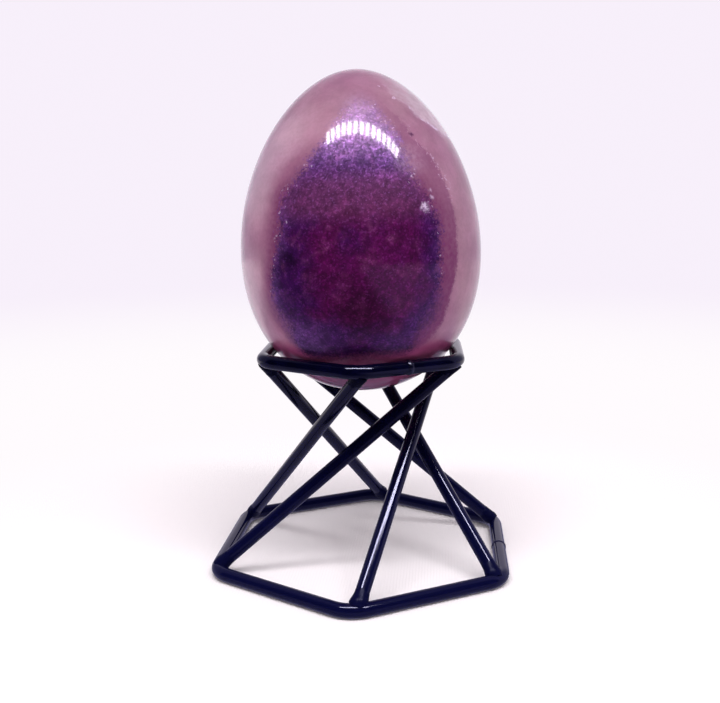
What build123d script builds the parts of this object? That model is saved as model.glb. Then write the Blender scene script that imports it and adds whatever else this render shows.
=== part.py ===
from build123d import *
import os
from math import cos, hypot, radians, sin

# A polished stone egg that rests loose in a welded stand of painted wire.
# Millimetres, +Z up. The origin lies on the tabletop, under the middle of the base ring,
# and one corner of the base ring points to the front, towards -Y.

# Wire of the rings and the struts
WIRE = 2.7  # bare wire, across
COAT = 0.08  # thickness of the paint
ROD = WIRE + 2 * COAT  # painted wire, across

# Rings, hexagons of bent wire measured between the wire middles of two opposite sides
SIDES = 6
BASE_FLATS = 59.4
BASE_BEND = 6.5  # bend at a corner, to the wire's middle
TOP_FLATS = 40.0
TOP_BEND = 6.0
RISE = 43.64  # from the wire's middle in the base ring to that in the top ring
TOP_TURN = 1.5  # degrees that the top ring is welded on out of line with the base ring

# Butt weld where the two ends of a ring's wire meet, in the middle of one side
SEAM_GAP = 0.6
SEAM_DIP = 0.12  # the weld is ground this far below the wire
BASE_SEAM_SIDE = 0  # sides counted round from +X
TOP_SEAM_SIDE = 5

# Struts, straight lengths of wire from each top corner to a base corner
STRUT_SKIP = 2  # corners between a strut's top and its foot
# The struts are welded by hand: how far round its bend each one's top and foot lie, in degrees
STRUT_ROUNDS = ((3, -8), (-11, -16), (11, -4), (15, -15), (26, 12), (20, -9))
STRUT_AIM = 0.35  # a strut's end aims this far below or above the ring wire's middle

# Weld beads at the ends of the struts
BEAD_PROUD = 0.75  # how far a bead stands out from the strut
BEAD_UP = 1.3  # from the strut's end along the strut to the bead's middle

# Egg, on each side of its widest circle
EGG_WIDTH = 50.2
EGG_CROWN = 37.4  # from the widest circle up to the tip
EGG_BOTTOM = 28.9  # from the widest circle down to the blunt end
CROWN_SIDE = 19.9  # length of the side curve's upright handle
CROWN_TIP = 11.9  # length of its level handle at the tip
BOTTOM_SIDE = 16.7
BOTTOM_TIP = 14.8
EGG_LEAN = 1.5  # degrees towards -X
SEAT_GAP = 0.2  # between the egg and the sides of the top ring

SECTOR = 360 / SIDES
BASE_LEVEL = ROD / 2
TOP_LEVEL = BASE_LEVEL + RISE


def corner_angle(corner):
    """Direction of a ring's corner, in degrees from +X."""
    return (corner + 0.5) * SECTOR


def bend_centre(flats, bend):
    """Distance from the ring's axis to the middle of a corner's bend."""
    return (flats / 2 - bend) / cos(radians(SECTOR / 2))


def bend_point(flats, bend, corner, turned):
    """Point on the wire's middle in a corner's bend, turned in degrees from the bend's middle."""
    reach = bend_centre(flats, bend)
    local = Vector(reach + bend * cos(radians(turned)), bend * sin(radians(turned)), 0)
    return local.rotate(Axis.Z, corner_angle(corner))


def ring(flats, bend):
    """Wire bent to a polygon, open by the seam's gap in the middle of its +X side."""
    reach = flats / 2 / cos(radians(SECTOR / 2))
    corners = [Vector(reach, 0, 0).rotate(Axis.Z, corner_angle(corner)) for corner in range(SIDES)]
    start = Vector(flats / 2, SEAM_GAP / 2, 0)
    end = Vector(flats / 2, -SEAM_GAP / 2, 0)
    path = FilletPolyline(start, *corners, end, radius=bend)
    section = Plane(origin=start, z_dir=(0, 1, 0)) * Circle(ROD / 2)
    return sweep(section, path=path)


def seam(flats):
    """Weld that fills the gap between the two ends of a ring's wire."""
    disc = Cylinder(ROD / 2 - SEAM_DIP, SEAM_GAP, rotation=(90, 0, 0))
    return Pos(flats / 2, 0, 0) * disc


def base_place():
    """Place of the base ring and its seam."""
    return Pos(0, 0, BASE_LEVEL) * Rot(0, 0, BASE_SEAM_SIDE * SECTOR)


def top_place():
    """Place of the top ring and its seam."""
    return Pos(0, 0, TOP_LEVEL) * Rot(0, 0, TOP_SEAM_SIDE * SECTOR + TOP_TURN)


def strut_ends(corner):
    """Foot and top of the middle line of the strut that stands on this corner of the base ring."""
    top_round, foot_round = STRUT_ROUNDS[corner % len(STRUT_ROUNDS)]
    foot = bend_point(BASE_FLATS, BASE_BEND, corner, foot_round)
    top = bend_point(TOP_FLATS, TOP_BEND, corner + STRUT_SKIP, top_round).rotate(Axis.Z, TOP_TURN)
    return foot + Vector(0, 0, BASE_LEVEL + STRUT_AIM), top + Vector(0, 0, TOP_LEVEL - STRUT_AIM)


def strut(foot, top, base_ring, top_ring):
    """Straight wire between two points, with its ends shaped to the rings."""
    run = top - foot
    rod = Cylinder(ROD / 2, run.length, align=(Align.CENTER, Align.CENTER, Align.MIN))
    return largest(Plane(origin=foot, z_dir=run) * rod - base_ring - top_ring)


def bead(end, other_end, strut_solid, ring_solid):
    """Weld bead round one end of a strut, against its ring."""
    run = (other_end - end).normalized()
    lump = Plane(origin=end + run * BEAD_UP, z_dir=run) * Sphere(ROD / 2 + BEAD_PROUD)
    return largest(lump - strut_solid - ring_solid)


def largest(shape):
    """The main solid of a cut shape."""
    return shape.solids().sort_by(SortBy.VOLUME)[-1]


def lower_curve(share):
    """Radius and depth of the egg's lower curve, from 0 at the widest circle to 1 at the bottom."""
    rest = 1 - share
    weights = (rest**3, 3 * share * rest**2, 3 * share**2 * rest, share**3)
    radii = (EGG_WIDTH / 2, EGG_WIDTH / 2, BOTTOM_TIP, 0)
    depths = (0, BOTTOM_SIDE, EGG_BOTTOM, EGG_BOTTOM)
    radius = sum(weight * value for weight, value in zip(weights, radii))
    depth = sum(weight * value for weight, value in zip(weights, depths))
    return radius, depth


def seat_at(share):
    """Radius and depth of the top ring's wire middle if the egg rests on it at this share."""
    step = 1e-4
    radius, depth = lower_curve(share)
    radius_on, depth_on = lower_curve(share + step)
    slope = hypot(radius_on - radius, depth_on - depth)
    offset = (ROD / 2 + SEAT_GAP) / slope
    return radius + (depth_on - depth) * offset, depth - (radius_on - radius) * offset


def seat():
    """Depths, below the egg's widest circle, of the top ring and of the point that it leans about."""
    low, high = 0.0, 1.0 - 1e-3
    for _ in range(50):
        middle = (low + high) / 2
        if seat_at(middle)[0] > TOP_FLATS / 2:
            low = middle
        else:
            high = middle
    ring_radius, ring_depth = seat_at(low)
    egg_radius, egg_depth = lower_curve(low)
    slant = (ring_depth - egg_depth) / (ring_radius - egg_radius)
    return ring_depth, egg_depth - egg_radius * slant


def egg():
    """Solid of revolution that leans a little in its seat."""
    waist = (EGG_WIDTH / 2, 0)
    tip = (0, EGG_CROWN)
    bottom = (0, -EGG_BOTTOM)
    crown_curve = Bezier(waist, (EGG_WIDTH / 2, CROWN_SIDE), (CROWN_TIP, EGG_CROWN), tip)
    bottom_curve = Bezier(bottom, (BOTTOM_TIP, -EGG_BOTTOM), (EGG_WIDTH / 2, -BOTTOM_SIDE), waist)
    outline = make_face([bottom_curve, crown_curve, Line(tip, bottom)])
    upright = revolve(Plane.XZ * outline, Axis.Z)
    ring_depth, lean_depth = seat()
    lean = Pos(0, 0, TOP_LEVEL + ring_depth - lean_depth) * Rot(0, -EGG_LEAN, 0)
    return lean * Pos(0, 0, lean_depth) * upright


def model():
    """All the pieces, each under its own name."""
    base_ring = base_place() * ring(BASE_FLATS, BASE_BEND)
    top_ring = top_place() * ring(TOP_FLATS, TOP_BEND)
    pieces = {
        "stone_egg": egg(),
        "base_ring": base_ring,
        "base_ring_seam": base_place() * seam(BASE_FLATS),
        "top_ring": top_ring,
        "top_ring_seam": top_place() * seam(TOP_FLATS),
    }
    for corner in range(SIDES):
        number = corner + 1
        foot, top = strut_ends(corner)
        rod = strut(foot, top, base_ring, top_ring)
        pieces[f"strut_{number}"] = rod
        pieces[f"base_bead_{number}"] = bead(foot, top, rod, base_ring)
        pieces[f"top_bead_{number}"] = bead(top, foot, rod, top_ring)
    return pieces


os.makedirs("parts", exist_ok=True)
for name, solid in model().items():
    export_step(solid, f"parts/{name}.step")
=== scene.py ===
"""Polished violet stone egg that rests in a twisted stand of gloss black wire."""

import functools
import logging
import math
from dataclasses import dataclass
from enum import Enum
from typing import Any

import bmesh
import bpy
from mathutils import Euler, Matrix, Vector, geometry, noise

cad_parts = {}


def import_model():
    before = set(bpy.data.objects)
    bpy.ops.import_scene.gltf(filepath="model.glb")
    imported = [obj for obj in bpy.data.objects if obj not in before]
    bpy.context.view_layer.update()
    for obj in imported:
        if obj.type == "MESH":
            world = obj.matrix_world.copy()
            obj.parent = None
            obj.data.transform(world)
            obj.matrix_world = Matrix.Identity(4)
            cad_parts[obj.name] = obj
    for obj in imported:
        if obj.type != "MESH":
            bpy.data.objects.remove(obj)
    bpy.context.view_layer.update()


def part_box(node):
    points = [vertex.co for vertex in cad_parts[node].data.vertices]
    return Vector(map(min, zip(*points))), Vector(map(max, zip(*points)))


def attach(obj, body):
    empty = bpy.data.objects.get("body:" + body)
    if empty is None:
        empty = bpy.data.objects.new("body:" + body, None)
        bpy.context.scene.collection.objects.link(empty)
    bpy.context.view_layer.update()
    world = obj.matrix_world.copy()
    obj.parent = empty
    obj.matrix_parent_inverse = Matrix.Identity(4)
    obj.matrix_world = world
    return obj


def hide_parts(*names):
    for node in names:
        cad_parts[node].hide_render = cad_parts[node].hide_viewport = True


LOG = logging.getLogger("egg_on_stand")
MM = 0.001
IMAGE_WIDTH = 720

Colour = tuple[float, float, float]
Point = tuple[float, float, float]
Span = tuple[float, float]
Socket = bpy.types.NodeSocket
Shape = bmesh.types.BMesh
Edges = list[bmesh.types.BMEdge]

FORWARD: Point = (0, -1, 0)
RIGHTWARD: Point = (1, 0, 0)
MIDDLE_GREY: Colour = (0.5, 0.5, 0.5)

# Points closer than this are one, and edges past these angles stay sharp or are rounded
MERGE_DISTANCE = 1e-7
SHARP_DEGREES = 50
RIM_RADIANS = 1

# Colours that several parts of the stone share
DARK_ROSE: Colour = (0.150, 0.026, 0.098)
MILK: Colour = (0.620, 0.470, 0.560)
# Pale lilac haze, partly a painted halo of the highlight on the egg's upper face
HALO_HAZE: Colour = (0.370, 0.215, 0.335)
SPARK: Colour = (0.740, 0.580, 0.800)


class Body(Enum):
    """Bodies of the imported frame."""

    STAND = "stand"
    EGG = "egg"


class Slot(Enum):
    """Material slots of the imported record."""

    STONE = "stone"
    PAINTED_WIRE = "painted_wire"


class Ends(Enum):
    """The two ends of a strut."""

    FOOT = "base"
    TOP = "top"


@dataclass(frozen=True)
class Fade:
    """Soft step: the levels at which it starts and ends, and the result before and after it."""

    low: float
    high: float
    start: float = 0
    end: float = 1


@dataclass(frozen=True)
class Grain:
    """Soft noise: clouds to a millimetre, number of finer levels and their strength."""

    per_mm: float
    detail: float = 2
    roughness: float = 0.5


@dataclass(frozen=True)
class Mottle(Grain):
    """Patches: soft noise that is sent through a soft step."""

    step: Fade = Fade(0, 1)


@dataclass(frozen=True)
class Swirl:
    """Noise that moves a place: swirls to a millimetre, largest move in millimetres and finer levels."""

    per_mm: float
    amount: float
    detail: float = 2


@dataclass(frozen=True)
class Cloud:
    """Blob in the stone, full inside its core and faded at its reach.

    Millimetres from the middle of the egg's widest circle.
    """

    spot: Point
    core: float
    reach: float
    strength: float


class ShaderBoard:
    """Lays out the nodes of one material or of the world."""

    def __init__(self, owner: bpy.types.Material | bpy.types.World) -> None:
        """Starts from an empty board.

        Args:
            owner: Material or world that gets the nodes.
        """
        owner.use_nodes = True
        self.tree = owner.node_tree
        self.tree.nodes.clear()

    def node(self, kind: str, inputs: dict[str | int, Any] | None = None, **options: Any) -> bpy.types.Node:
        """Adds one node.

        Args:
            kind: Type name of the node.
            inputs: Sockets by name or number, each with a plain value or with the socket that feeds it.
            **options: Settings of the node itself.

        Returns:
            The node.
        """
        made = self.tree.nodes.new(kind)
        for name, value in options.items():
            setattr(made, name, value)
        for name, value in (inputs or {}).items():
            if isinstance(value, bpy.types.NodeSocket):
                self.tree.links.new(value, made.inputs[name])
            else:
                made.inputs[name].default_value = value
        return made

    def millimetres_from(self, middle: Vector, lean: float = 0) -> Socket:
        """Place on the piece in millimetres from a point of the frame.

        Args:
            middle: The point, in metres.
            lean: Degrees that the piece leans towards -X, which the place is measured along.

        Returns:
            Vector socket.
        """
        place = self.node("ShaderNodeTexCoord").outputs["Object"]
        upright = Euler((0, math.radians(lean), 0))
        start = upright.to_matrix() @ middle * (-1 / MM)
        inputs = {"Vector": place, "Location": start, "Rotation": upright, "Scale": Vector((1, 1, 1)) / MM}
        return self.node("ShaderNodeMapping", inputs).outputs["Vector"]

    def axes(self, at: Socket) -> bpy.types.NodeOutputs:
        """The X, Y and Z of a place, each as a number socket."""
        return self.node("ShaderNodeSeparateXYZ", {"Vector": at}).outputs

    def clouds(self, at: Socket, grain: Grain) -> Socket:
        """Soft noise from 0 to 1."""
        inputs = {"Vector": at, "Scale": grain.per_mm, "Detail": grain.detail, "Roughness": grain.roughness}
        return self.node("ShaderNodeTexNoise", inputs).outputs["Fac"]

    def stirred(self, at: Socket, swirl: Swirl) -> Socket:
        """Place moved about by noise.

        Args:
            at: Place, in millimetres.
            swirl: Size, amount and detail of the noise.

        Returns:
            Vector socket.
        """
        inputs = {"Vector": at, "Scale": swirl.per_mm, "Detail": swirl.detail}
        moves = self.node("ShaderNodeTexNoise", inputs).outputs["Color"]
        centred = self.vector("SUBTRACT", moves, MIDDLE_GREY)
        return self.vector("MULTIPLY_ADD", centred, (swirl.amount, swirl.amount, swirl.amount), at)

    def flakes(self, at: Socket, per_mm: float) -> Socket:
        """Random colour for each small crystal, so many to a millimetre."""
        return self.node("ShaderNodeTexVoronoi", {"Vector": at, "Scale": per_mm}).outputs["Color"]

    def number(self, operation: str, *values: Any) -> Socket:
        """Arithmetic on numbers."""
        return self.node("ShaderNodeMath", dict(enumerate(values)), operation=operation).outputs[0]

    def times(self, *values: Any) -> Socket:
        """Product of numbers."""
        return functools.reduce(functools.partial(self.number, "MULTIPLY"), values)

    def plus(self, *values: Any) -> Socket:
        """Sum of numbers."""
        return functools.reduce(functools.partial(self.number, "ADD"), values)

    def most(self, *values: Any) -> Socket:
        """Largest of some numbers."""
        return functools.reduce(functools.partial(self.number, "MAXIMUM"), values)

    def vector(self, operation: str, *values: Any) -> Socket:
        """Arithmetic on vectors, with a vector as its result."""
        made = self.node("ShaderNodeVectorMath", dict(enumerate(values)), operation=operation)
        return made.outputs["Vector"]

    def measure(self, operation: str, *values: Any) -> Socket:
        """Arithmetic on vectors, with a number as its result."""
        made = self.node("ShaderNodeVectorMath", dict(enumerate(values)), operation=operation)
        return made.outputs["Value"]

    def scaled(self, vector: Socket, level: Socket) -> Socket:
        """Colour or vector multiplied by a number."""
        made = self.node("ShaderNodeVectorMath", {0: vector, "Scale": level}, operation="SCALE")
        return made.outputs["Vector"]

    def ease(self, value: Any, low: Any, high: Any, start: Any = 0, end: Any = 1) -> Socket:
        """Soft step with the levels and results of a Fade, of which any can be a socket."""
        inputs = dict(enumerate((value, low, high, start, end)))
        return self.node("ShaderNodeMapRange", inputs, interpolation_type="SMOOTHSTEP").outputs[0]

    def fade(self, value: Any, step: Fade) -> Socket:
        """Soft step of fixed levels."""
        return self.ease(value, step.low, step.high, step.start, step.end)

    def mottle(self, at: Socket, mottle: Mottle) -> Socket:
        """Share of some patches at a place."""
        return self.fade(self.clouds(at, mottle), mottle.step)

    def tint(self, share: Any, first: Any, second: Any) -> Socket:
        """Mix of two colours, plain ones or sockets, with a share of the second."""
        inputs = {0: share, 6: self.opaque(first), 7: self.opaque(second)}
        return self.node("ShaderNodeMix", inputs, data_type="RGBA", blend_type="MIX").outputs[2]

    @staticmethod
    def opaque(colour: Any) -> Any:
        """A plain colour with full alpha, or the socket as it is."""
        return (*colour, 1) if isinstance(colour, tuple) else colour

    def near(self, at: Socket, cloud: Cloud) -> Socket:
        """Share of a blob at a place, before its strength."""
        return self.ease(self.measure("DISTANCE", at, cloud.spot), cloud.core, cloud.reach, 1, 0)

    def blobs(
        self, at: Socket, clouds: tuple[Cloud, ...], colour: Socket, tone: Colour, patches: Any = 1
    ) -> Socket:
        """Adds blobs of one colour.

        Args:
            at: Place, in millimetres.
            clouds: The blobs.
            colour: Colour that they lie in.
            tone: Their own colour.
            patches: Share of them from place to place.

        Returns:
            Colour socket.
        """
        for cloud in clouds:
            share = self.times(self.near(at, cloud), patches, cloud.strength)
            colour = self.tint(share, colour, tone)
        return colour

    def mixed(self, share: Socket, first: bpy.types.Node, second: bpy.types.Node) -> bpy.types.Node:
        """Mix of two shaders, with a share of the second."""
        return self.node("ShaderNodeMixShader", {0: share, 1: first.outputs[0], 2: second.outputs[0]})

    def close(self, shader: bpy.types.Node, kind: str = "ShaderNodeOutputMaterial") -> None:
        """Sends a shader to the surface output."""
        self.node(kind, {"Surface": shader.outputs[0]})


@dataclass(frozen=True)
class StonePlace:
    """Where a point lies in the stone, as sockets of the stone's board. Millimetres.

    The place itself and a stirred one, its X and Z, the random colour of its flake, its distance into
    the mica of the face and into that of the back, and the unevenness of their edges.
    """

    board: ShaderBoard
    at: Socket
    wavy: Socket
    beside: Socket
    height: Socket
    flakes: Socket
    over: Socket
    behind: Socket
    grain: Socket

    def high(self, *steps: Fade) -> Socket:
        """Product of soft steps of the height."""
        return self.board.times(*(self.board.fade(self.height, step) for step in steps))

    def wide(self, step: Fade) -> Socket:
        """Soft step of the distance to the right."""
        return self.board.fade(self.beside, step)

    def aside(self, step: Fade, middle: float = 0) -> Socket:
        """Soft step of the distance to either side of a middle line."""
        away = self.board.number("ABSOLUTE", self.board.number("SUBTRACT", self.beside, middle))
        return self.board.fade(away, step)

    def mottle(self, mottle: Mottle) -> Socket:
        """Share of some patches."""
        return self.board.mottle(self.at, mottle)


@dataclass(frozen=True)
class StoneLayers:
    """Where the layers of mica lie in the egg, at its face and at its back. Millimetres."""

    across: Point = (0.062, -1.0, 0.046)
    face_level: float = 18.76
    back_level: float = 17
    # Lobed outline of the face's mica: number of lobes round it, height of a lobe and turn in radians
    lobe_middle: Span = (0.8, 5.0)
    lobes: tuple[tuple[float, float, float], ...] = (
        (2, 0.568, 2.681),
        (3, 1.270, 0.171),
        (4, 0.203, 1.376),
        (5, 0.906, -2.680),
    )
    bulges: tuple[Cloud, ...] = (
        Cloud((2.4, -13.8, 29), 1, 6, 1.5),
        Cloud((-9.8, -20.2, 15.5), 3, 9, 1),
    )
    swirls: tuple[Swirl, ...] = (Swirl(0.06, 1), Swirl(0.42, 1.2, 4))
    flake_swirl: Swirl = Swirl(1.6, 0.4)
    flakes_per_mm: float = 3.2
    lumps: Grain = Grain(1.3, 3, 0.6)
    lump_height: float = 1.8
    lump_floor: float = -1.4

    def place(self, board: ShaderBoard, middle: Vector, lean: float) -> StonePlace:
        """Finds where each point lies in the stone.

        Args:
            board: Board of the stone.
            middle: Middle of the egg's widest circle, in metres.
            lean: Degrees that the egg leans towards -X.

        Returns:
            The sockets.
        """
        at = board.millimetres_from(middle, lean)
        axes = board.axes(at)
        wavy = functools.reduce(board.stirred, self.swirls, at)
        flakes = board.flakes(board.stirred(at, self.flake_swirl), self.flakes_per_mm)
        depth = board.measure("DOT_PRODUCT", wavy, self.across)
        over = self._over_face(board, at, depth)
        behind = board.number("MULTIPLY_ADD", depth, -1, -self.back_level)
        each = board.node("ShaderNodeSeparateColor", {"Color": flakes}).outputs["Blue"]
        lumps = board.clouds(at, self.lumps)
        grain = board.plus(each, board.number("MULTIPLY_ADD", lumps, self.lump_height, self.lump_floor))
        return StonePlace(board, at, wavy, axes["X"], axes["Z"], flakes, over, behind, grain)

    def _over_face(self, board: ShaderBoard, at: Socket, depth: Socket) -> Socket:
        """Distance across the layers beyond the lobed edge of the face's mica.

        Args:
            board: Board of the stone.
            at: Place, in millimetres.
            depth: Distance across the layers, towards the face.

        Returns:
            Number socket, more than 0 in the mica.
        """
        axes = board.axes(at)
        beside = board.number("SUBTRACT", axes["X"], self.lobe_middle[0])
        above = board.number("SUBTRACT", axes["Z"], self.lobe_middle[1])
        turn = board.number("ARCTAN2", above, beside)
        over = board.number("SUBTRACT", depth, self.face_level)
        for order, amount, phase in self.lobes:
            wave = board.number("SINE", board.number("MULTIPLY_ADD", turn, order, phase))
            over = board.number("MULTIPLY_ADD", wave, -amount, over)
        for bulge in self.bulges:
            over = board.number("MULTIPLY_ADD", board.near(at, bulge), bulge.strength, over)
        return over


@dataclass(frozen=True)
class HealedCrack:
    """Healed crack near the tip, milky on one side and chipped along its line. Millimetres."""

    across: Point = (0.652, -0.120, 0.749)
    level: float = 29.84
    ragged: Swirl = Swirl(0.35, 1.2, 3)
    front_part: Fade = Fade(-6, 3)
    right_part: Fade = Fade(5, 13, 0.1, 1)
    milk_start: Fade = Fade(-0.15, 0.25)
    milk_end: Fade = Fade(0.5, 7, 0.8, 0.15)
    frost: Mottle = Mottle(0.45, 3, 0.6, Fade(0.3, 0.65, 0.55, 1))
    line: Fade = Fade(0.05, 0.3, 1, 0)
    chips: Mottle = Mottle(0.5, 3, 0.6, Fade(0.48, 0.62, 0.1, 0.7))

    def add(self, place: StonePlace, colour: Socket) -> Socket:
        """Adds the crack to the quartz.

        Args:
            place: Where each point lies.
            colour: Colour of the quartz.

        Returns:
            Colour socket.
        """
        board = place.board
        ragged = board.measure("DOT_PRODUCT", board.stirred(place.at, self.ragged), self.across)
        beyond = board.number("SUBTRACT", ragged, self.level)
        forward = board.measure("DOT_PRODUCT", place.at, FORWARD)
        here = board.times(board.fade(forward, self.front_part), place.wide(self.right_part))
        milky = board.times(board.fade(beyond, self.milk_start), board.fade(beyond, self.milk_end))
        colour = board.tint(board.times(milky, place.mottle(self.frost), here), colour, MILK)
        line = board.fade(board.number("ABSOLUTE", beyond), self.line)
        return board.tint(board.times(line, place.mottle(self.chips), here), colour, SPARK)


@dataclass(frozen=True)
class RoseQuartz:
    """Cloudy rose quartz, the main body of the stone. Millimetres."""

    rose: Colour = (0.388, 0.196, 0.274)
    mauve: Colour = (0.320, 0.134, 0.224)
    # Darker, redder quartz low down, round the ring's seat: partly the stone's deeper rose, partly painted
    # shade, the ring's shade and dark reflection
    under: Colour = (0.240, 0.042, 0.130)
    body: Mottle = Mottle(0.075, 3, 0.5, Fade(0.28, 0.68))
    wisp_stretch: Point = (0.35, 1.0, 0.35)
    wisps: Mottle = Mottle(0.22, 4, 0.6, Fade(0.50, 0.76, 0, 0.25))
    shaded_under_height: Fade = Fade(-18, -14.2, 0.95, 0)
    # Milky clouds in the quartz; those at the left rim are also painted light, the glow of light through the
    # thin edge
    clouds: tuple[Cloud, ...] = (
        Cloud((-19, -9, 15), 2, 13, 0.46),
        Cloud((-12.5, -12, 23), 1, 9.5, 0.28),
        Cloud((-23, -8, -5), 2, 15, 0.55),
        Cloud((8, 18, 12), 3, 13, 0.45),
        Cloud((18, 12, -8), 2, 10, 0.30),
    )
    crack: HealedCrack = HealedCrack()
    # Brightness from place to place: random patches, and painted shade that darkens the lamp-lit tip, the
    # bowl below the ring and the bright right side
    blotches: Mottle = Mottle(0.2, 4, 0.6, Fade(0.3, 0.7, 0.90, 1.08))
    sugar: Mottle = Mottle(1.6, 3, 0.7, Fade(0.3, 0.7, 0.97, 1.03))
    tip_shade: Fade = Fade(22, 33, 1, 0.84)
    foot_shade: Fade = Fade(-22, -19, 0.68, 1)
    right_shade: Fade = Fade(-10, 20, 1, 0.88)

    def colour(self, place: StonePlace) -> Socket:
        """Colour of the quartz.

        Args:
            place: Where each point lies.

        Returns:
            Colour socket.
        """
        board = place.board
        colour = board.tint(board.mottle(place.wavy, self.body), self.mauve, self.rose)
        layered = board.vector("MULTIPLY", place.wavy, self.wisp_stretch)
        colour = board.tint(board.mottle(layered, self.wisps), colour, DARK_ROSE)
        # Deeper rose and painted shade low down, round the ring's seat
        colour = board.tint(place.high(self.shaded_under_height), colour, self.under)
        colour = board.blobs(place.wavy, self.clouds, colour, MILK)
        colour = self.crack.add(place, colour)
        level = board.times(
            place.mottle(self.blotches),
            place.mottle(self.sugar),
            place.high(self.tip_shade, self.foot_shade),
            place.wide(self.right_shade),
        )
        return board.scaled(colour, level)


@dataclass(frozen=True)
class DarkBorder:
    """Darker quartz beside the mica, with a line of painted glints along its outer edge. Millimetres."""

    fringe_start: Fade = Fade(-6, 6, -3, -4.4)
    fringe_end: float = 0.2
    fringe_share: float = 0.9
    fringe_tip: Fade = Fade(11, 25, 1, 0.3)
    fringe_foot: Fade = Fade(-10, -3, 0.65, 1)
    # Width of the band to the right of the mica, summed from its changes with height
    band_widths: tuple[Fade, ...] = (Fade(8, 16, 3, 3.85), Fade(18.5, 23.5, 0, -2.1), Fade(-9, -2, -1.2, 0))
    band_grain: float = 0.35
    band_edge: Fade = Fade(-0.35, 0.55)
    band_beside: Fade = Fade(0, 11)
    band_height: Fade = Fade(-4, 22, 1, 0.55)
    back_band: Fade = Fade(-4, -0.6, 0, 0.7)
    blotches: Mottle = Mottle(1, 4, 0.7, Fade(0.3, 0.7, 0.85, 1.05))
    # Painted glints: specks along the band's outer edge, as if its flakes caught the light
    glitter_line: Fade = Fade(0.1, 0.8, 1, 0)
    glitter: Mottle = Mottle(1.5, 3, 0.7, Fade(0.5, 0.62))
    glitter_beside: Fade = Fade(9, 14, 0, 0.3)
    glitter_height: Fade = Fade(8, 14)

    def add(self, place: StonePlace, colour: Socket) -> Socket:
        """Adds the border to the quartz.

        Args:
            place: Where each point lies.
            colour: Colour of the quartz.

        Returns:
            Colour socket.
        """
        board = place.board
        start = place.high(self.fringe_start)
        fringe = board.ease(place.over, start, self.fringe_end, 0, self.fringe_share)
        fringe = board.times(fringe, place.high(self.fringe_tip, self.fringe_foot))
        rim = board.plus(*(place.high(width) for width in self.band_widths), place.over)
        band = board.times(
            board.fade(board.number("MULTIPLY_ADD", place.grain, self.band_grain, rim), self.band_edge),
            place.wide(self.band_beside),
            place.high(self.band_height),
        )
        share = board.most(fringe, band, board.fade(place.behind, self.back_band))
        colour = board.tint(board.times(share, place.mottle(self.blotches)), colour, DARK_ROSE)
        # Painted glints along the outer edge
        glitter = board.times(
            board.fade(board.number("ABSOLUTE", board.plus(rim, place.grain)), self.glitter_line),
            place.mottle(self.glitter),
            place.wide(self.glitter_beside),
            place.high(self.glitter_height),
        )
        return board.tint(glitter, colour, SPARK)


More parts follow.
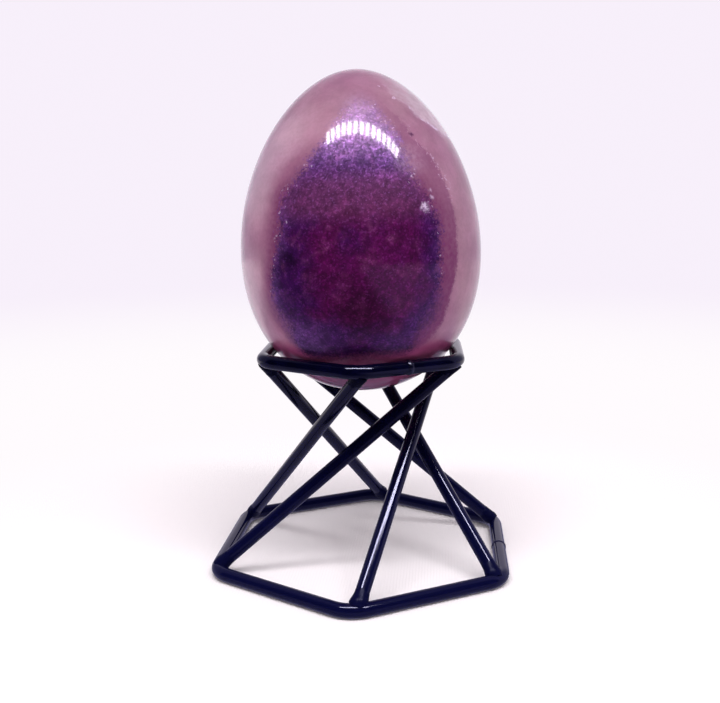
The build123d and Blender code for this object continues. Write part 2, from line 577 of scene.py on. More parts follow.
@dataclass(frozen=True)
class VioletMica:
    """Sparkling violet mica in two layers. Millimetres."""

    plum: Colour = (0.068, 0.0020, 0.053)
    violet: Colour = (0.035, 0.0025, 0.062)
    rosy: Colour = (0.150, 0.034, 0.105)
    lilac: Colour = (0.150, 0.056, 0.235)
    # Edge of the face's layer, softer at its corners, drawn down at its foot and cut off below that
    edge_inset: float = 0.5
    softness: Fade = Fade(20, 31, 0.7, 1.4)
    corner_beside: Fade = Fade(8, 13)
    corner_height: Fade = Fade(-11, -4, 1.5, 0)
    foot_middle: float = -1
    foot_beside: Fade = Fade(8, 14.5, 4, 0)
    foot_height: Fade = Fade(-15.5, -11, 1, 0)
    end_slant: float = -0.06
    end_grain: float = 0.6
    end: Fade = Fade(-20.2, -17.2)
    back_edge: Fade = Fade(-1, 1)
    # Patches of plum and violet, with a rosy flush and a paler, lilac tip that is partly a painted halo of
    # the highlight
    patch_swirl: Swirl = Swirl(0.1, 6)
    patches: Grain = Grain(0.13, 3, 0.6)
    plum_middle: Point = (3, -24, -1)
    outward: Fade = Fade(7, 18, -0.15, 0.3)
    bluish: Fade = Fade(0.35, 0.75)
    flush_swirl: Swirl = Swirl(0.25, 4, 4)
    flush: Mottle = Mottle(0.3, 5, 0.65, Fade(0.48, 0.70, 0, 0.42))
    flush_height: Fade = Fade(-9, 3, 0.35, 1)
    shoulder_start: Fade = Fade(6, 11, 0, 0.55)
    shoulder_end: Fade = Fade(14, 19, 1, 0)
    halo_lilac_height: Fade = Fade(12, 23.5, 0, 0.5)
    halo_haze_height: Fade = Fade(17, 27, 0, 0.32)
    # Painted sheen along the edge: pale lilac that stands in for the bright room mirrored at the mica's lower
    # edges
    sheen_width: Fade = Fade(-12, -5, 4.5, 2.8)
    dust: Mottle = Mottle(0.25, 3, 0.5, Fade(0.35, 0.65, 0.15, 0.5))
    sheen_corner: Fade = Fade(3, 9, 0.1, 1)
    sheen_height: Fade = Fade(-9, -2)
    sheen_beside: Fade = Fade(-4, 8, 1, 0.5)
    # Brightness from place to place and from flake to flake; darker at the foot, painted shade where the ring
    # rests and mirrors darkly in the stone
    blotches: Mottle = Mottle(0.6, 5, 0.7, Fade(0.3, 0.72, 0.66, 1.45))
    flake_level: Fade = Fade(0.5, 1, 0.89, 1.5)
    foot_shade: Fade = Fade(-18, -15, 0.45, 1)
    dusk: tuple[Cloud, ...] = (
        Cloud((2.5, -24, -9.5), 2, 8, 0.42),
        Cloud((-11.8, -22.1, 1), 0.6, 2.6, 0.50),
    )
    # Painted glints of single flakes, lit up as if they caught the light, more of them high up towards the
    # highlight and near the edge
    lively_height: Fade = Fade(4, 16, 0.3, 1)
    lively_edge: Fade = Fade(0.5, 3.5, 1, 0)
    lively_foot: Fade = Fade(-12, -2, 0.2, 1)
    glitter: Fade = Fade(0.86, 1, 0, 0.4)
    bright_edge: Fade = Fade(0.2, 2.4, 0.10, -0.01)
    bright_patches: Mottle = Mottle(0.3, 2, 0.5, Fade(0.38, 0.62))
    bright_height: Fade = Fade(-10, 3)
    bright: Fade = Fade(0.998, 1.02, 0, 0.45)

    def share(self, place: StonePlace) -> Socket:
        """Share of mica, with a sugary edge that softens towards the tip.

        Args:
            place: Where each point lies.

        Returns:
            Number socket.
        """
        board = place.board
        corner = board.times(place.aside(self.corner_beside), place.high(self.corner_height))
        soft = board.plus(place.high(self.softness), corner)
        foot = board.times(place.aside(self.foot_beside, self.foot_middle), place.high(self.foot_height))
        within = board.plus(place.over, place.grain, -self.edge_inset, foot)
        slanted = board.number("MULTIPLY_ADD", place.beside, self.end_slant, place.height)
        end = board.fade(board.number("MULTIPLY_ADD", place.grain, self.end_grain, slanted), self.end)
        face = board.times(board.ease(within, board.times(soft, -1), soft), end)
        return board.most(face, board.fade(board.plus(place.behind, place.grain), self.back_edge))

    def colour(self, place: StonePlace) -> Socket:
        """Colour of the mica, with painted glints of single flakes.

        Args:
            place: Where each point lies.

        Returns:
            Colour socket.
        """
        board = place.board
        each = board.node("ShaderNodeSeparateColor", {"Color": place.flakes}).outputs
        flake_level = board.fade(each["Red"], self.flake_level)
        level = board.times(place.mottle(self.blotches), flake_level, place.high(self.foot_shade))
        for patch in self.dusk:
            light = board.number("MULTIPLY_ADD", board.near(place.at, patch), -patch.strength, 1)
            level = board.times(level, light)
        colour = board.scaled(self._tone(place), level)
        # Painted glints: lilac and pale flakes, more of them high up and near the edge
        lively = board.most(place.high(self.lively_height), board.fade(place.over, self.lively_edge))
        glitter = board.times(board.fade(each["Red"], self.glitter), lively, place.high(self.lively_foot))
        colour = board.tint(glitter, colour, self.lilac)
        edge = board.fade(board.number("ABSOLUTE", place.over), self.bright_edge)
        edge = board.times(edge, place.mottle(self.bright_patches), place.high(self.bright_height))
        return board.tint(board.fade(board.plus(each["Green"], edge), self.bright), colour, SPARK)

    def _tone(self, place: StonePlace) -> Socket:
        """Patches of plum and violet, flushed with rose, paler at the tip with a painted halo, and with
        painted lilac sheen along the edge.

        Args:
            place: Where each point lies.

        Returns:
            Colour socket.
        """
        board = place.board
        patches = board.clouds(board.stirred(place.at, self.patch_swirl), self.patches)
        outward = board.fade(board.measure("DISTANCE", place.at, self.plum_middle), self.outward)
        colour = board.tint(board.fade(board.plus(patches, outward), self.bluish), self.plum, self.violet)
        flush = board.mottle(board.stirred(place.at, self.flush_swirl), self.flush)
        flush = board.times(flush, place.high(self.flush_height))
        shoulder = place.high(self.shoulder_start, self.shoulder_end)
        colour = board.tint(board.most(flush, shoulder), colour, self.rosy)
        # Painted halo: the mica turns lilac and hazy towards the tip, where the highlight falls
        colour = board.tint(place.high(self.halo_lilac_height), colour, self.lilac)
        colour = board.tint(place.high(self.halo_haze_height), colour, HALO_HAZE)
        # Painted sheen: pale lilac patches along the lower edges of the mica
        dust = board.times(
            board.ease(place.over, 0, place.high(self.sheen_width), 1, 0),
            place.mottle(self.dust),
            board.most(place.aside(self.sheen_corner), place.high(self.sheen_height)),
            place.wide(self.sheen_beside),
        )
        return board.tint(dust, colour, self.lilac)


@dataclass(frozen=True)
class Inclusions:
    """Single bright crystals, hazy patches near the highlight that are partly its painted halo, and one dark
    spot. Millimetres.
    """

    ink: Colour = (0.060, 0.006, 0.050)
    ragged: Swirl = Swirl(1.4, 1.1, 4)
    haze_patches: Mottle = Mottle(1.1, 4, 0.7, Fade(0.35, 0.65, 0.35, 1))
    # Hazy patches beside the highlight and at the tip: partly paler stone, partly painted halo of the
    # highlight
    hazes: tuple[Cloud, ...] = (
        Cloud((11.6, -17.6, 18.8), 1, 4.8, 0.50),
        Cloud((1.6, -14.2, 29.3), 0.5, 5, 0.60),
    )
    spark_patches: Mottle = Mottle(2.2, 3, 0.7, Fade(0.38, 0.6, 0.2, 1))
    sparks: tuple[Cloud, ...] = (
        Cloud((14.05, -19.51, 9.80), 0.25, 1.3, 0.9),
        Cloud((15.38, -17.93, 11.57), 0.05, 0.7, 0.5),
        Cloud((15.03, -17.76, 12.88), 0.05, 0.6, 0.4),
        Cloud((5.48, -9.24, 33.02), 0.1, 0.4, 0.7),
        Cloud((8.39, -10.5, 30.54), 0.15, 0.55, 0.9),
    )
    dark_spots: tuple[Cloud, ...] = (Cloud((11.63, -14.72, 23.44), 0.2, 0.7, 0.85),)

    def add(self, place: StonePlace, colour: Socket) -> Socket:
        """Adds the inclusions to the stone.

        Args:
            place: Where each point lies.
            colour: Colour of the stone.

        Returns:
            Colour socket.
        """
        board = place.board
        ragged = board.stirred(place.at, self.ragged)
        colour = board.blobs(ragged, self.hazes, colour, HALO_HAZE, place.mottle(self.haze_patches))
        colour = board.blobs(ragged, self.sparks, colour, SPARK, place.mottle(self.spark_patches))
        return board.blobs(ragged, self.dark_spots, colour, self.ink)


@dataclass(frozen=True)
class LayeredStone:
    """Polished rose quartz that has a layer of sparkling violet mica at its face and another at its back."""

    layers: StoneLayers = StoneLayers()
    quartz: RoseQuartz = RoseQuartz()
    border: DarkBorder = DarkBorder()
    mica: VioletMica = VioletMica()
    inclusions: Inclusions = Inclusions()
    flake_tilt: Fade = Fade(0, 1, 0.004, 0.15)
    flake_mean: Point = (0.333, 0.333, 0.333)
    flake_metal: Fade = Fade(0.3, 0.7, 0.08, 0.26)
    roughness: Fade = Fade(0, 1, 0.35, 0.39)
    polish: float = 0.085
    polish_ior: float = 1.28
    shine: float = 0.08
    depth: float = 0.25
    depth_radius: Point = (0.005, 0.0025, 0.0035)

    def material(self, middle: Vector, lean: float) -> bpy.types.Material:
        """Makes the stone.

        Args:
            middle: Middle of the egg's widest circle, in metres.
            lean: Degrees that the egg leans towards -X.

        Returns:
            The material.
        """
        made = bpy.data.materials.new("layered_stone")
        board = ShaderBoard(made)
        place = self.layers.place(board, middle, lean)
        mica = self.mica.share(place)
        colour = self.border.add(place, self.quartz.colour(place))
        colour = board.tint(mica, colour, self.mica.colour(place))
        tilt = board.vector("SUBTRACT", place.flakes, MIDDLE_GREY)
        push = board.scaled(tilt, board.fade(mica, self.flake_tilt))
        surface = board.node("ShaderNodeNewGeometry").outputs["Normal"]
        glint = board.measure("DOT_PRODUCT", place.flakes, self.flake_mean)
        inputs = {
            "Base Color": self.inclusions.add(place, colour),
            "Metallic": board.times(mica, board.fade(glint, self.flake_metal)),
            "Roughness": board.fade(mica, self.roughness),
            "Normal": board.vector("NORMALIZE", board.vector("ADD", surface, push)),
            "Coat Weight": 1.0,
            "Coat Roughness": self.polish,
            "Coat IOR": self.polish_ior,
            "Specular IOR Level": self.shine,
            "Subsurface Weight": self.depth,
            "Subsurface Radius": self.depth_radius,
            "Subsurface Scale": 1.0,
        }
        board.close(board.node("ShaderNodeBsdfPrincipled", inputs))
        return made


@dataclass(frozen=True)
class GlossPaint:
    """Gloss black paint on wire, a little uneven, with a navy tone low down. Millimetres."""

    name: str = "gloss_black_paint"
    black: Colour = (0.0003, 0.0003, 0.0045)
    worn: Colour = (0.0014, 0.0013, 0.0160)
    navy: Colour = (0.0026, 0.0030, 0.0290)
    gleam: Colour = (0.73, 0.71, 1.0)
    shine: float = 0.33
    smooth: float = 0.09
    rough: float = 0.13
    rough_grain: Grain = Grain(0.8, 4, 0.65)
    rough_span: Span = (0.3, 0.7)
    patches: Mottle = Mottle(0.35, 4, 0.6, Fade(0.35, 0.7, 0, 0.5))
    dust: Mottle = Mottle(3.5, 3, 0.7, Fade(0.62, 0.75, 0, 0.6))
    navy_height: Fade = Fade(2, 36, 0.9, 0.08)
    peel_grain: Grain = Grain(0.5, 3, 0.55)
    peel_height: float = 0.0001
    pit_grain: Grain = Grain(0.5, 3, 0.6)
    pits: float = 0

    def material(self) -> bpy.types.Material:
        """Makes the paint.

        Returns:
            The material.
        """
        made = bpy.data.materials.new(self.name)
        board = ShaderBoard(made)
        at = board.millimetres_from(Vector((0, 0, 0)))
        worn = board.most(board.mottle(at, self.patches), board.mottle(at, self.dust))
        colour = board.tint(worn, self.black, self.worn)
        colour = board.tint(board.fade(board.axes(at)["Z"], self.navy_height), colour, self.navy)
        peel = board.clouds(at, self.peel_grain)
        lumps = board.number("MULTIPLY_ADD", board.clouds(at, self.pit_grain), self.pits, peel)
        bump = {"Height": lumps, "Strength": 1.0, "Distance": self.peel_height * MM}
        roughness = board.clouds(at, self.rough_grain)
        inputs = {
            "Base Color": colour,
            "Roughness": board.ease(roughness, *self.rough_span, self.smooth, self.rough),
            "Normal": board.node("ShaderNodeBump", bump).outputs["Normal"],
            "Specular IOR Level": self.shine,
            "Specular Tint": board.opaque(self.gleam),
        }
        board.close(board.node("ShaderNodeBsdfPrincipled", inputs))
        return made


def extend(shape: Shape, loop: Edges, move: Vector) -> Edges:
    """Draws a round of edges out along a straight run.

    Args:
        shape: The wire.
        loop: Edges of its open end.
        move: The run, in metres.

    Returns:
        Edges of the new end.
    """
    drawn = bmesh.ops.extrude_edge_only(shape, edges=loop)["geom"]
    verts = [item for item in drawn if isinstance(item, bmesh.types.BMVert)]
    bmesh.ops.translate(shape, verts=verts, vec=move)
    return [item for item in drawn if isinstance(item, bmesh.types.BMEdge) and item.is_boundary]


def widen(shape: Shape, loop: Edges, across: float, along: float) -> None:
    """Scales a round of edges about the Z axis, by one factor in X and one in Y."""
    verts = list({vert for edge in loop for vert in edge.verts})
    bmesh.ops.scale(shape, vec=(across, along, 1), verts=verts)


def soften_ends(shape: Shape, size: float) -> None:
    """Rounds the sharp edges at the ends of a wire, by a size in millimetres."""
    rims = [edge for edge in shape.edges if edge.calc_face_angle(0) > RIM_RADIANS]
    bmesh.ops.bevel(shape, geom=rims, offset=size * MM, affect="EDGES", segments=2, profile=0.5, material=-1)


def finish_piece(
    shape: Shape, name: str, material: bpy.types.Material, body: Body, node: str
) -> bpy.types.Object:
    """Turns a finished shape into a piece that stands for a solid of the frame.

    Args:
        shape: The shape, in its place.
        name: Name of the piece.
        material: Its finish.
        body: Body that it moves with.
        node: Solid that it stands for.

    Returns:
        The piece.
    """
    bmesh.ops.remove_doubles(shape, verts=shape.verts, dist=MERGE_DISTANCE)
    bmesh.ops.recalc_face_normals(shape, faces=shape.faces)
    for face in shape.faces:
        face.smooth = True
    mesh = bpy.data.meshes.new(name)
    shape.to_mesh(mesh)
    shape.free()
    mesh.set_sharp_from_angle(angle=math.radians(SHARP_DEGREES))
    mesh.materials.append(material)
    piece = bpy.data.objects.new(name, mesh)
    bpy.context.scene.collection.objects.link(piece)
    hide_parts(node)
    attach(piece, body.value)
    LOG.info("%s: %d faces, rides on %s", name, len(mesh.polygons), body.value)
    return piece


@dataclass
class StoneEgg:
    """The polished egg, a turned shape that leans a little in its seat. Millimetres and degrees."""

    width: float = 50.2
    crown: float = 37.4
    bottom: float = 28.9
    crown_side: float = 19.9
    crown_tip: float = 11.9
    bottom_side: float = 16.7
    bottom_tip: float = 14.8
    lean: float = 1.5
    curve_steps: int = 64
    turn_steps: int = 192
    finish: LayeredStone = LayeredStone()

    def profile(self) -> list[Vector]:
        """Points of the side curve, from the bottom up to the tip.

        Returns:
            Points in the XZ plane, in metres, with the widest circle at the origin's height.
        """
        half = self.width / 2
        lower = ((0, -self.bottom), (self.bottom_tip, -self.bottom), (half, -self.bottom_side), (half, 0))
        upper = ((half, 0), (half, self.crown_side), (self.crown_tip, self.crown), (0, self.crown))
        curves = []
        for knots in (lower, upper):
            points = [Vector((out, 0, up)) * MM for out, up in knots]
            curves.append(geometry.interpolate_bezier(*points, self.curve_steps))
        return curves[0] + curves[1][1:]

    def build(self) -> tuple[Shape, Vector]:
        """Turns the profile and sets the egg in its seat.

        Returns:
            The shape, and the middle of its widest circle in metres.
        """
        shape = bmesh.new()
        verts = [shape.verts.new(point) for point in self.profile()]
        edges = [shape.edges.new(pair) for pair in zip(verts, verts[1:])]
        bmesh.ops.spin(
            shape,
            geom=verts + edges,
            cent=(0, 0, 0),
            axis=(0, 0, 1),
            angle=math.tau,
            steps=self.turn_steps,
            use_merge=True,
        )
        bmesh.ops.remove_doubles(shape, verts=shape.verts, dist=MERGE_DISTANCE)
        lean = Matrix.Rotation(math.radians(-self.lean), 3, "Y")
        bmesh.ops.rotate(shape, verts=shape.verts, cent=(0, 0, 0), matrix=lean)
        low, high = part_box("stone_egg")
        own_low = Vector([min(vert.co[axis] for vert in shape.verts) for axis in range(3)])
        own_high = Vector([max(vert.co[axis] for vert in shape.verts) for axis in range(3)])
        middle = (Vector(low) + Vector(high) - own_low - own_high) / 2
        bmesh.ops.translate(shape, verts=shape.verts, vec=middle)
        return shape, middle

    def dress(self) -> bpy.types.Object:
        """Builds the egg and gives it its stone.

        Returns:
            The piece.
        """
        shape, middle = self.build()
        stone = self.finish.material(middle, self.lean)
        return finish_piece(shape, "polished_egg", stone, Body.EGG, "stone_egg")


@dataclass
class WireRing:
    """Hexagon bent from one length of wire, butt-welded in the middle of a side. Millimetres and degrees."""

    name: str
    flats: float
    bend: float
    level: float
    turn: float
    rod: float
    gap: float = 0.6
    seam_length: float = 1.3
    seam_dip: float = 0.05
    seam_crown: float = 0.21
    seam_steps: int = 12
    end_lip: float = 0.4
    end_round: float = 0.1
    sides: int = 6
    bend_steps: int = 14
    round_steps: int = 32

    def place(self) -> Matrix:
        """Place of the ring in the frame, in metres."""
        return Matrix.Translation((0, 0, self.level * MM)) @ Matrix.Rotation(math.radians(self.turn), 4, "Z")

    def corner_point(self, corner: int, turned: float) -> Vector:
        """Point on the wire's middle in a corner's bend.

        Args:
            corner: Corners counted from the first one past +X.
            turned: Degrees round the bend from its middle.

        Returns:
            The point in millimetres, at the ring's own height and before its turn.
        """
        sector = 360 / self.sides
        reach = (self.flats / 2 - self.bend) / math.cos(math.radians(sector / 2))
        round_bend = math.radians(turned)
        local = Vector((reach + self.bend * math.cos(round_bend), self.bend * math.sin(round_bend), 0))
        local.rotate(Matrix.Rotation(math.radians((corner + 0.5) * sector), 3, "Z"))
        return local

    def build(self) -> Shape:
        """Draws the wire along the sides and round the bends.

        Returns:
            The shape, in its place.
        """
        shape = bmesh.new()
        sector = math.tau / self.sides
        half_run = (self.flats / 2 - self.bend) * math.tan(sector / 2) * MM
        gap = self.gap / 2 * MM
        lip = self.end_lip * MM
        radius = self.rod / 2 * MM
        bend_turn = Matrix.Rotation(sector, 3, "Z")
        heading = Vector((0, 1, 0))
        here = Vector((self.flats / 2 * MM, gap, 0))
        start = Matrix.Translation(here) @ Matrix.Rotation(math.radians(90), 4, "X")
        bmesh.ops.create_circle(shape, cap_ends=True, segments=self.round_steps, radius=radius, matrix=start)
        loop = extend(shape, list(shape.edges), heading * lip)
        here = here + heading * lip
        for corner in range(self.sides):
            run = half_run * 2 if corner else half_run - gap - lip
            loop = extend(shape, loop, heading * run)
            here = here + heading * run
            pivot = here + Vector((-heading.y, heading.x, 0)) * self.bend * MM
            turned = bmesh.ops.spin(
                shape, geom=loop, cent=pivot, axis=(0, 0, 1), angle=sector, steps=self.bend_steps
            )
            loop = [item for item in turned["geom_last"] if isinstance(item, bmesh.types.BMEdge)]
            here = pivot + bend_turn @ (here - pivot)
            heading = bend_turn @ heading
        for run in (half_run - gap - lip, lip):
            loop = extend(shape, loop, heading * run)
        bmesh.ops.edgeloop_fill(shape, edges=loop)
        soften_ends(shape, self.end_round)
        bmesh.ops.transform(shape, verts=shape.verts, matrix=self.place())
        return shape

    def build_seam(self) -> Shape:
        """Makes the slightly domed weld between the two ends of the wire, flat where it meets the table.

        Returns:
            The shape, in its place.
        """
        shape = bmesh.new()
        lie = Matrix.Translation((self.flats / 2 * MM, 0, 0)) @ Matrix.Rotation(math.radians(90), 4, "X")
        low = (self.rod / 2 - self.seam_dip) * MM
        start = Matrix.Translation((0, 0, -self.seam_length / 2 * MM))
        bmesh.ops.create_circle(shape, cap_ends=True, segments=self.round_steps, radius=low, matrix=start)
        loop = list(shape.edges)
        wide = low
        for step in range(1, self.seam_steps + 1):
            loop = extend(shape, loop, Vector((0, 0, self.seam_length / self.seam_steps * MM)))
            next_wide = low + self.seam_crown * MM * math.sin(math.pi * step / self.seam_steps)
            widen(shape, loop, next_wide / wide, next_wide / wide)
            wide = next_wide
        bmesh.ops.edgeloop_fill(shape, edges=loop)
        bmesh.ops.transform(shape, verts=shape.verts, matrix=self.place() @ lie)
        for vert in shape.verts:
            vert.co.z = max(vert.co.z, 0)
        return shape


@dataclass
class WireStand:
    """Two hexagons of wire joined by six slanting struts with a weld at each end. Millimetres and degrees."""

    rod: float = 2.86
    base_flats: float = 59.4
    base_bend: float = 6.5
    top_flats: float = 40
    top_bend: float = 6
    rise: float = 43.64
    top_turn: float = 1.5
    top_seam_turn: float = 300
    strut_skip: int = 2
    strut_aim: float = 0.35
    # How far round its bend each strut's top and foot lie
    strut_rounds: tuple[Span, ...] = ((3, -8), (-11, -16), (11, -4), (15, -15), (26, 12), (20, -9))
    foot_proud: float = 0.50
    top_proud: float = 0.22
    weld_thin: float = 0.3
    # Outline of a weld: distance along the strut, and share of how far the weld stands out there
    weld_levels: tuple[Span, ...] = (
        (0.5, 0.6),
        (1.0, 1.05),
        (1.4, 0.98),
        (1.8, 0.72),
        (2.2, 0.47),
        (2.6, 0.28),
        (3.1, 0.12),
        (3.6, 0.02),
        (3.9, -0.3),
    )
    weld_uneven: float = 0.08
    lumps_per_mm: float = 0.7
    end_lip: float = 0.6
    end_round: float = 0.25
    round_steps: int = 32
    paint: GlossPaint = GlossPaint()
    weld_paint: GlossPaint = GlossPaint(
        "gloss_black_paint_on_welds", pits=2.0, peel_height=0.004, smooth=0.24, rough=0.34, shine=0.05
    )
    seam_paint: GlossPaint = GlossPaint("gloss_black_paint_on_seams", smooth=0.20, rough=0.26, shine=0.50)

    def rings(self) -> tuple[WireRing, WireRing]:
        """The base ring and the top ring.

        Returns:
            Both rings, not yet built.
        """
        low = self.rod / 2
        turn = self.top_seam_turn + self.top_turn
        base = WireRing("base_ring", self.base_flats, self.base_bend, low, 0, self.rod)
        top = WireRing("top_ring", self.top_flats, self.top_bend, low + self.rise, turn, self.rod)
        return base, top

    def strut_ends(self, number: int) -> tuple[Vector, Vector]:
        """Ends of a strut's middle line.

        Args:
            number: Struts counted from 1.

        Returns:
            Foot and top, in metres.
        """
        base, top = self.rings()
        top_round, foot_round = self.strut_rounds[number - 1]
        foot = base.corner_point(number - 1, foot_round)
        head = top.corner_point(number - 1 + self.strut_skip, top_round)
        head.rotate(Matrix.Rotation(math.radians(self.top_turn), 3, "Z"))
        foot.z = base.level + self.strut_aim
        head.z = top.level - self.strut_aim
        return foot * MM, head * MM

    def build_strut(self, number: int) -> Shape:
        """Makes a straight, square-cut strut with its end edges softened by paint.

        Args:
            number: Struts counted from 1.

        Returns:
            The shape, in its place.
        """
        foot, head = self.strut_ends(number)
        run = head - foot
        shape = bmesh.new()
        bmesh.ops.create_circle(shape, cap_ends=True, segments=self.round_steps, radius=self.rod / 2 * MM)
        loop = list(shape.edges)
        lip = self.end_lip * MM
        for length in (lip, run.length - 2 * lip, lip):
            loop = extend(shape, loop, Vector((0, 0, length)))
        bmesh.ops.edgeloop_fill(shape, edges=loop)
        soften_ends(shape, self.end_round)
        place = Matrix.Translation(foot) @ run.to_track_quat("Z", "Y").to_matrix().to_4x4()
        bmesh.ops.transform(shape, verts=shape.verts, matrix=place)
        return shape

    def build_weld(self, number: int, end: Ends) -> Shape:
        """Makes the flared, slightly lumpy weld round one end of a strut.

        Args:
            number: Struts counted from 1.
            end: End of the strut.

        Returns:
            The shape, in its place.
        """
        start, other = self.strut_ends(number)
        proud = self.foot_proud
        if end is Ends.TOP:
            start, other = other, start
            proud = self.top_proud
        run = (other - start).normalized()
        along = Vector((-start.y, start.x, 0)).normalized()
        along = (along - run * along.dot(run)).normalized()
        shape = bmesh.new()
        radius = self.rod / 2
        bmesh.ops.create_circle(shape, cap_ends=True, segments=self.round_steps, radius=radius * MM)
        loop = list(shape.edges)
        height, wide, thick = 0, radius, radius
        for level, share in self.weld_levels:
            loop = extend(shape, loop, Vector((0, 0, (level - height) * MM)))
            next_wide = radius + proud * share
            next_thick = radius + proud * self.weld_thin * share
            widen(shape, loop, next_wide / wide, next_thick / thick)
            height, wide, thick = level, next_wide, next_thick
        bmesh.ops.edgeloop_fill(shape, edges=loop)
        turned = Matrix((along, run.cross(along), run)).transposed().to_4x4()
        bmesh.ops.transform(shape, verts=shape.verts, matrix=Matrix.Translation(start) @ turned)
        self._roughen(shape)
        return shape

    def _roughen(self, shape: Shape) -> None:
        """Moves the points of a weld in and out a little.

        Args:
            shape: The weld, in its place.
        """
        shape.normal_update()
        for vert in shape.verts:
            lump = noise.noise(vert.co / MM * self.lumps_per_mm)
            vert.co += vert.normal * lump * self.weld_uneven * MM

    def dress(self) -> list[bpy.types.Object]:
        """Builds all of the stand and paints it.

        Returns:
            The pieces.
        """
        paint = self.paint.material()
        weld_paint = self.weld_paint.material()
        seam_paint = self.seam_paint.material()
        pieces = []
        for ring in self.rings():
            seam = f"{ring.name}_seam"
            pieces.append(self._piece(ring.build(), f"{ring.name}_wire", paint, ring.name))
            pieces.append(self._piece(ring.build_seam(), f"{ring.name}_butt_weld", seam_paint, seam))
        for number in range(1, len(self.strut_rounds) + 1):
            strut = self.build_strut(number)
            pieces.append(self._piece(strut, f"strut_wire_{number}", paint, f"strut_{number}"))
            for end in Ends:
                weld = self.build_weld(number, end)
                name = f"{end.value}_weld_{number}"
                pieces.append(self._piece(weld, name, weld_paint, f"{end.value}_bead_{number}"))
        return pieces

    @staticmethod
    def _piece(shape: Shape, name: str, paint: bpy.types.Material, node: str) -> bpy.types.Object:
        """Finishes one painted piece of the stand."""
        return finish_piece(shape, name, paint, Body.STAND, node)


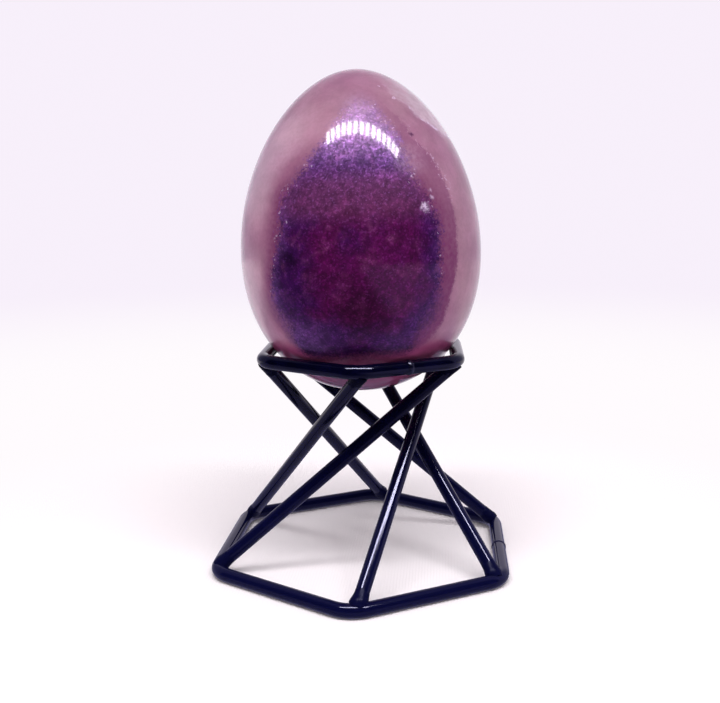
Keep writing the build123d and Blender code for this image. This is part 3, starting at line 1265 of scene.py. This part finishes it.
@dataclass
class LightBox:
    """White box open at the front, with a row of small lamps along its upper front edge. Millimetres."""

    backdrop: Colour = (0.935, 0.868, 0.962)
    floor_white: Colour = (1.0, 0.965, 0.99)
    cloth: Colour = (0.995, 0.926, 0.962)
    dim_room: Colour = (0.60, 0.56, 0.93)
    soft_white: Colour = (1.0, 0.98, 1.0)
    # Brightness in mirrors of the room in front, the side walls, the back wall and the cloth
    room: float = 0.012
    wall: float = 0.36
    bright_side: float = 1.8
    back_wall: float = 0.9
    mirrored_cloth: float = 0.45
    # Brightness of the light that comes from all round
    ambient: float = 0.66
    # Directions, as shares of a unit length, in which one wall gives way to the next
    wall_edge: Span = (-0.05, 0.12)
    side_edge: Span = (0.2, 0.9)
    back_edge: Span = (-0.95, -0.5)
    # Cloth of the floor, its threads, and the distances at which it changes
    floor_radius: float = 700
    floor_steps: int = 128
    weave_per_mm: float = 0.5
    weave_bend: float = 1.5
    fluff: Grain = Grain(0.6, 3)
    fluff_share: float = 0.5
    weave_strength: float = 0.3
    weave_height: float = 0.08
    lit_cloth: Fade = Fade(50, 130)
    pale_floor: Fade = Fade(200, 560)
    cloth_front: Span = (46.4, 87.0)
    cloth_side: Span = (30, 80)
    cloth_back: Span = (-90, -40)
    lamp_count: int = 14
    lamp_size: Span = (19, 52)
    lamp_pitch: float = 31
    lamp_middle: Point = (45, -134, 392)
    lamp_bow: float = 18
    lamp_tilt: float = 20
    lamp_power: float = 0.215
    soft_power: float = 1.22

    def build_world(self) -> None:
        """Surrounds the scene with white walls and a dark front."""
        world = bpy.data.worlds.new("light_box")
        bpy.context.scene.world = world
        board = ShaderBoard(world)
        way = board.node("ShaderNodeTexCoord").outputs["Generated"]
        front = board.measure("DOT_PRODUCT", way, FORWARD)
        right = board.measure("DOT_PRODUCT", way, RIGHTWARD)
        walls = board.ease(front, *self.wall_edge, self.wall, self.room)
        walls = board.times(walls, board.ease(right, *self.side_edge, 1, self.bright_side))
        behind = board.ease(front, *self.back_edge, self.back_wall, 0)
        tone = board.tint(behind, self.dim_room, self.backdrop)
        glows = (
            {"Color": board.opaque(self.soft_white), "Strength": self.ambient},
            {"Color": tone, "Strength": board.most(walls, behind)},
            {"Color": board.opaque(self.backdrop), "Strength": 1.0},
        )
        spread, mirrored, seen = (board.node("ShaderNodeBackground", inputs) for inputs in glows)
        path = board.node("ShaderNodeLightPath").outputs
        shiny = board.most(path["Is Glossy Ray"], path["Is Transmission Ray"])
        light = board.mixed(shiny, spread, mirrored)
        board.close(board.mixed(path["Is Camera Ray"], light, seen), "ShaderNodeOutputWorld")

    def cloth_material(self) -> bpy.types.Material:
        """Makes the pale cloth of the floor, which fades into the backdrop far away.

        Returns:
            The material.
        """
        made = bpy.data.materials.new("pale_cloth")
        board = ShaderBoard(made)
        at = board.millimetres_from(Vector((0, 0, 0)))
        away = board.measure("LENGTH", at)
        path = board.node("ShaderNodeLightPath").outputs
        cloth = {"Color": board.opaque(self.cloth), "Normal": self._weave(board, at)}
        near = board.node("ShaderNodeBsdfDiffuse", cloth)
        colour = board.tint(board.fade(away, self.pale_floor), self.floor_white, self.backdrop)
        far = board.node("ShaderNodeEmission", {"Color": colour, "Strength": 1.0})
        share = board.times(board.fade(away, self.lit_cloth), path["Is Camera Ray"])
        mirrored = self._mirrored_floor(board, at)
        board.close(board.mixed(path["Is Glossy Ray"], board.mixed(share, near, far), mirrored))
        return made

    def _weave(self, board: ShaderBoard, at: Socket) -> Socket:
        """Fine relief of the cloth's threads.

        Args:
            board: Board of the cloth.
            at: Place, in millimetres.

        Returns:
            Normal socket.
        """
        inputs = {"Vector": at, "Scale": self.weave_per_mm, "Distortion": self.weave_bend, "Detail": 2.0}
        weave = board.node("ShaderNodeTexWave", inputs).outputs["Fac"]
        threads = board.number("MULTIPLY_ADD", board.clouds(at, self.fluff), self.fluff_share, weave)
        bump = {"Height": threads, "Strength": self.weave_strength, "Distance": self.weave_height * MM}
        return board.node("ShaderNodeBump", bump).outputs["Normal"]

    def _mirrored_floor(self, board: ShaderBoard, at: Socket) -> bpy.types.Node:
        """The floor as shiny pieces mirror it, dim in front and brighter at the right and at the back.

        Args:
            board: Board of the cloth.
            at: Place, in millimetres.

        Returns:
            Node of the shader.
        """
        ahead = board.measure("DOT_PRODUCT", at, FORWARD)
        aside = board.measure("DOT_PRODUCT", at, RIGHTWARD)
        strength = board.most(
            board.ease(ahead, *self.cloth_front, self.mirrored_cloth, self.room),
            board.ease(aside, *self.cloth_side, 0, self.mirrored_cloth * self.bright_side),
            board.ease(ahead, *self.cloth_back, self.back_wall, 0),
        )
        tone = board.tint(board.ease(ahead, *self.cloth_back), self.backdrop, self.dim_room)
        return board.node("ShaderNodeEmission", {"Color": tone, "Strength": strength})

    def build_floor(self) -> bpy.types.Object:
        """Lays the cloth under the stand.

        Returns:
            The floor.
        """
        shape = bmesh.new()
        radius = self.floor_radius * MM
        bmesh.ops.create_circle(shape, cap_ends=True, segments=self.floor_steps, radius=radius)
        mesh = bpy.data.meshes.new("cloth_floor")
        shape.to_mesh(mesh)
        shape.free()
        mesh.materials.append(self.cloth_material())
        floor = bpy.data.objects.new("cloth_floor", mesh)
        bpy.context.scene.collection.objects.link(floor)
        return floor

    def build_lamps(self) -> None:
        """Hangs the row of lamps, and the soft light that they make together."""
        middle = Vector(self.lamp_middle)
        for number in range(self.lamp_count):
            share = 2 * number / (self.lamp_count - 1) - 1
            across = share * self.lamp_pitch * (self.lamp_count - 1) / 2
            place = middle + Vector((across, -self.lamp_bow * share**2, 0))
            lamp = self._lamp(f"lamp_{number + 1}", place, self.lamp_size, self.lamp_power)
            lamp.visible_diffuse = False
        length = self.lamp_pitch * self.lamp_count
        soft = self._lamp("soft_light", middle, (length, self.lamp_size[1]), self.soft_power)
        soft.visible_glossy = False

    def _lamp(self, name: str, place: Vector, size: Span, power: float) -> bpy.types.Object:
        """Hangs one rectangular lamp that shines on the egg.

        Args:
            name: Name of the lamp.
            place: Its middle, in millimetres.
            size: Its two sides, in millimetres.
            power: Its power, in watts.

        Returns:
            The lamp.
        """
        light = bpy.data.lights.new(name, "AREA")
        light.shape = "RECTANGLE"
        light.size = size[0] * MM
        light.size_y = size[1] * MM
        light.energy = power
        lamp = bpy.data.objects.new(name, light)
        lamp.location = place * MM
        lamp.rotation_euler = (math.radians(self.lamp_tilt), 0, 0)
        bpy.context.scene.collection.objects.link(lamp)
        return lamp

    def build(self) -> None:
        """Sets up the floor, the walls and the lamps."""
        self.build_world()
        self.build_floor()
        self.build_lamps()
        LOG.info("light box: %d lamps", self.lamp_count)


@dataclass
class PhotoCamera:
    """Camera at the photograph's viewing angle. Millimetres, degrees and pixels."""

    focal: float = 941.185
    distance: float = 202.0913
    elevation: float = 10.4635
    azimuth: float = 5.0514
    roll: float = -0.5583
    aside: float = 0.5378
    target: float = 45.0116
    sensor: float = 36
    near_clip: float = 5

    def build(self) -> bpy.types.Object:
        """Places the camera and makes it the scene's own.

        Returns:
            The camera.
        """
        turn = math.radians(self.azimuth)
        rise = math.radians(self.elevation)
        roll = math.radians(self.roll)
        back = Vector((math.sin(turn) * math.cos(rise), -math.cos(turn) * math.cos(rise), math.sin(rise)))
        level = Vector((math.cos(turn), math.sin(turn), 0))
        upright = back.cross(level)
        right = level * math.cos(roll) + upright * math.sin(roll)
        up = back.cross(right)
        place = Vector((0, 0, self.target)) + back * self.distance - right * self.aside
        data = bpy.data.cameras.new("photo_camera")
        data.sensor_fit = "HORIZONTAL"
        data.sensor_width = self.sensor
        data.lens = self.focal / IMAGE_WIDTH * self.sensor
        data.clip_start = self.near_clip * MM
        camera = bpy.data.objects.new("photo_camera", data)
        turned = Matrix((right, up, back)).transposed().to_4x4()
        camera.matrix_world = Matrix.Translation(place * MM) @ turned
        bpy.context.scene.collection.objects.link(camera)
        bpy.context.scene.camera = camera
        return camera


def main() -> None:
    """Builds the egg, its stand and the light box round them."""
    logging.basicConfig(level=logging.INFO, format="%(name)s: %(message)s")
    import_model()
    bpy.context.scene.view_settings.view_transform = "Standard"
    PhotoCamera().build()
    StoneEgg().dress()
    WireStand().dress()
    LightBox().build()


if __name__ == "__main__":
    main()
